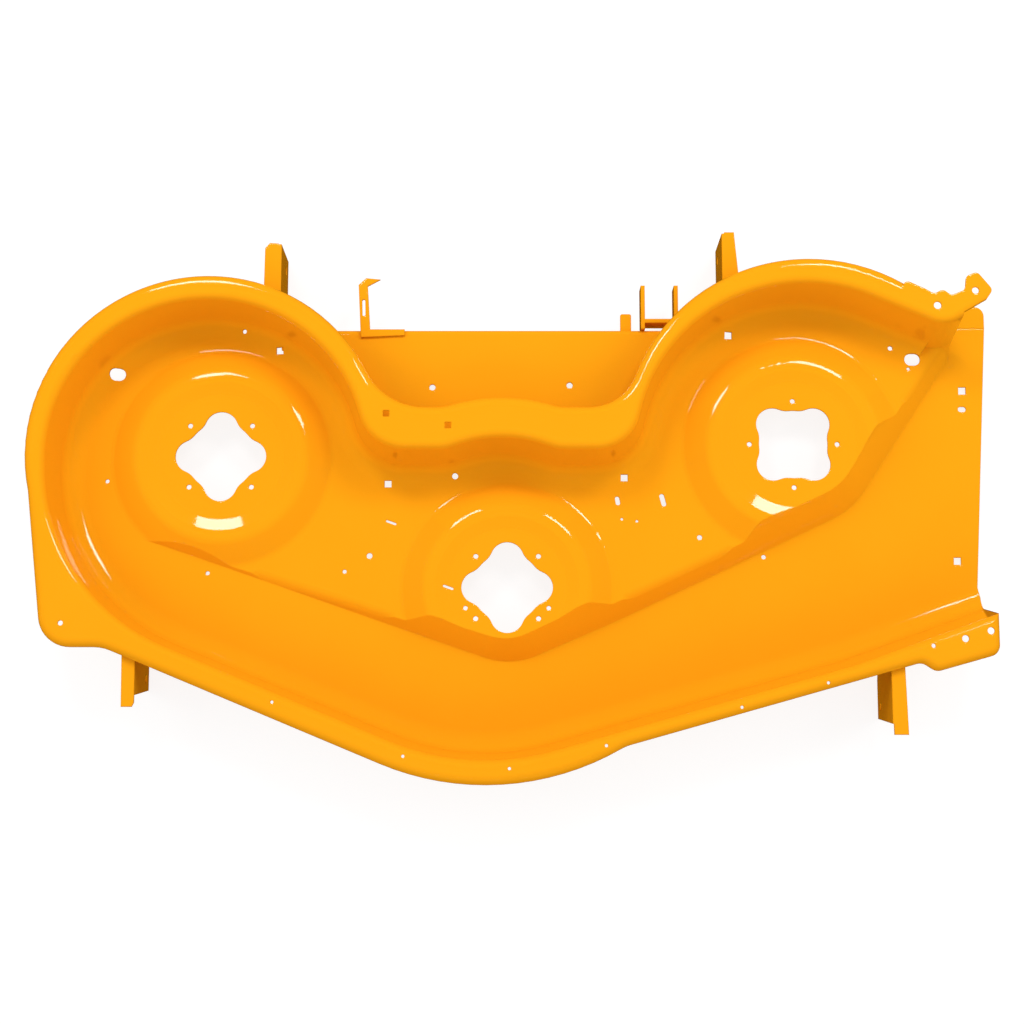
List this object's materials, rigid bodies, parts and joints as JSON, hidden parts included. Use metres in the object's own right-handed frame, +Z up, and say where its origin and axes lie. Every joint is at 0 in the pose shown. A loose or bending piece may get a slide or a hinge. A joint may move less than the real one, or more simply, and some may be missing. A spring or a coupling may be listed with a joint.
{
  "type": "lawn mower deck shell",
  "caption": "Pressed steel ride-on mower deck, underside up, with dished spindle seats and lobed windows, a rolled rim, side discharge, and welded hangers and brackets.",
  "frame": {"origin": "under the middle of the part's box, on the ground that the hangers rest on", "axes": "+X to the discharge side, +Y to the rear of the mower, +Z up out of the open underside"},
  "size_m": [1.3972, 0.802, 0.135],
  "materials": {
    "paint": "glossy orange-yellow powder coat"
  },
  "bodies": {
    "root": {"deck_shell": "paint", "rear_cross_plate": "paint", "left_rear_hanger": "paint", "right_rear_hanger": "paint", "left_front_hanger": "paint", "right_front_hanger": "paint", "slotted_bracket": "paint", "clevis_bracket": "paint", "stop_tab": "paint"}
  },
  "joints": []
}
